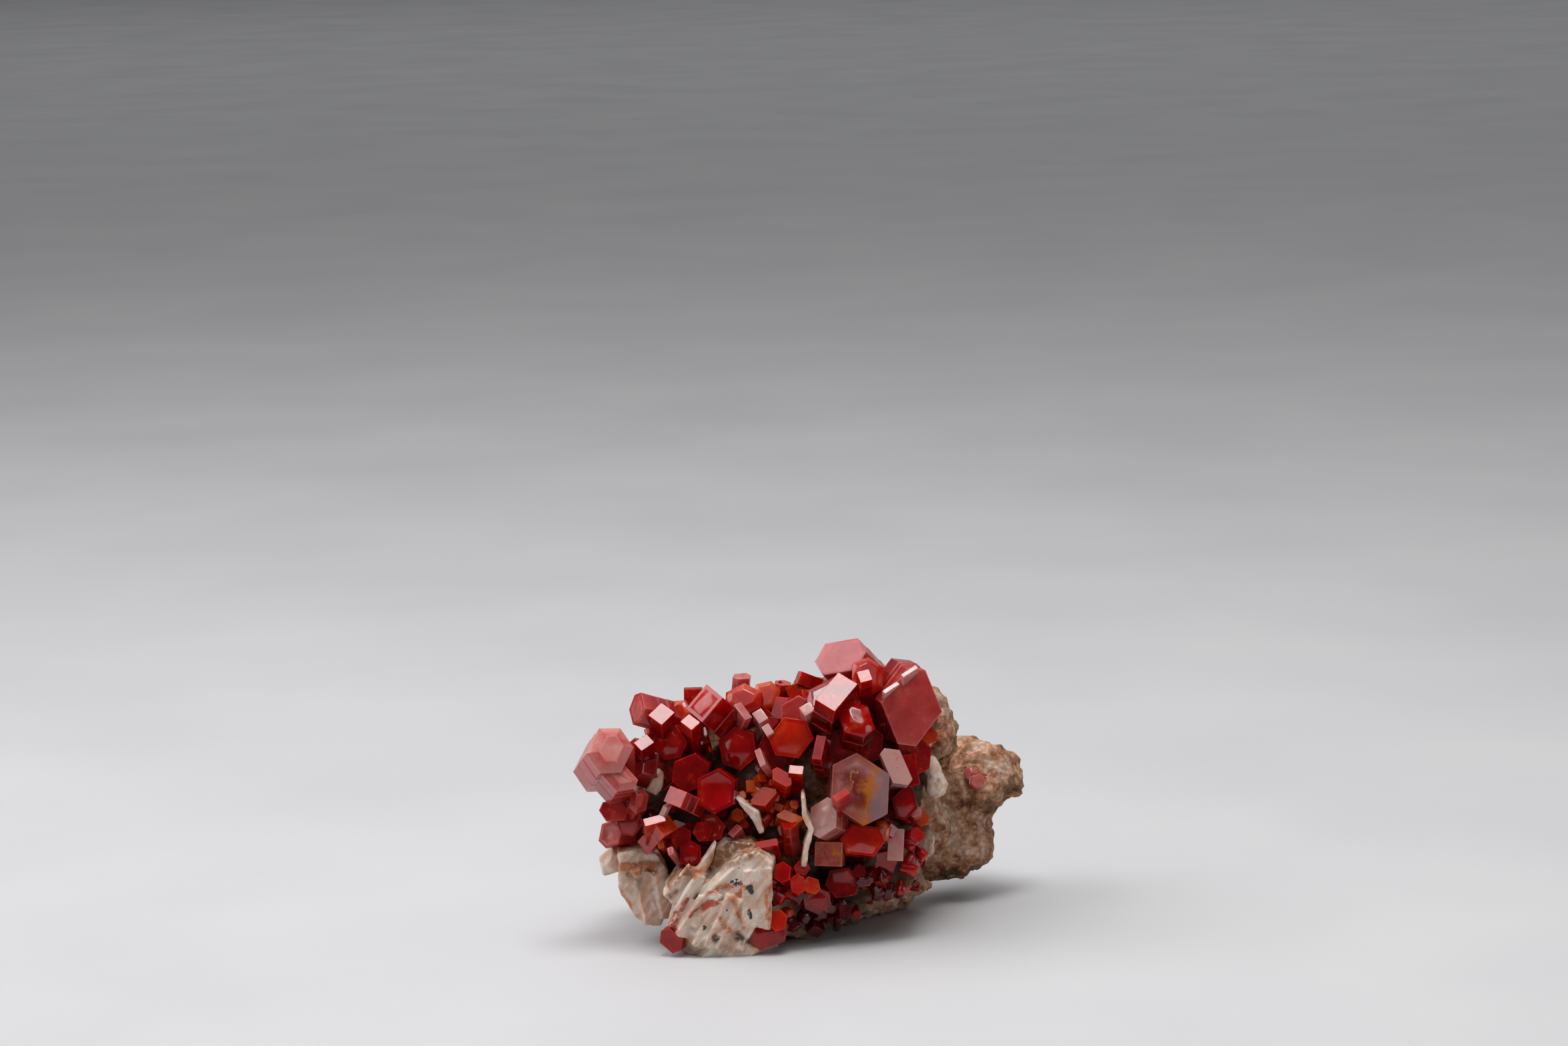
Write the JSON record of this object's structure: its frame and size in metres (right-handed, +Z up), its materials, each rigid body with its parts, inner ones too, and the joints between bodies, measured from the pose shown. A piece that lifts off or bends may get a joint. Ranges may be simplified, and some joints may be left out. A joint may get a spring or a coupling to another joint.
{
  "type": "vanadinite on matrix",
  "caption": "Mineral specimen: blocky red hexagonal crystals crowded over a rough tan rock with white bladed barite at its foot.",
  "frame": {"origin": "on the flat patch underneath that the specimen rests on", "axes": "+Z up, +X to the right along the longest side, the crystal front towards -Y"},
  "size_m": [0.051, 0.0341, 0.0335],
  "materials": {
    "vanadinite": "deep red resinous crystal with orange edges",
    "barite": "cream to white bladed barite with rust veins and black specks",
    "rock": "rough tan and brown iron-stained rock"
  },
  "bodies": {
    "root": {"crystals_crown": "vanadinite", "crystals_left_wing": "vanadinite", "crystals_left_edge": "vanadinite", "crystals_left_low": "vanadinite", "crystal_pale_upper": "vanadinite", "crystal_pale_lower": "vanadinite", "crystals_hollow_right": "vanadinite", "crystals_red_cap": "vanadinite", "crystal_right_orange": "vanadinite", "crystals_bunch": "vanadinite", "crystals_foot": "vanadinite", "crystal_foot_left": "vanadinite", "barite_front": "barite", "barite_left": "barite", "barite_ridge": "barite", "barite_grey_blade": "barite", "barite_tooth": "barite", "barite_chip": "barite", "barite_low_chip": "barite", "matrix_rock": "rock"}
  },
  "joints": []
}
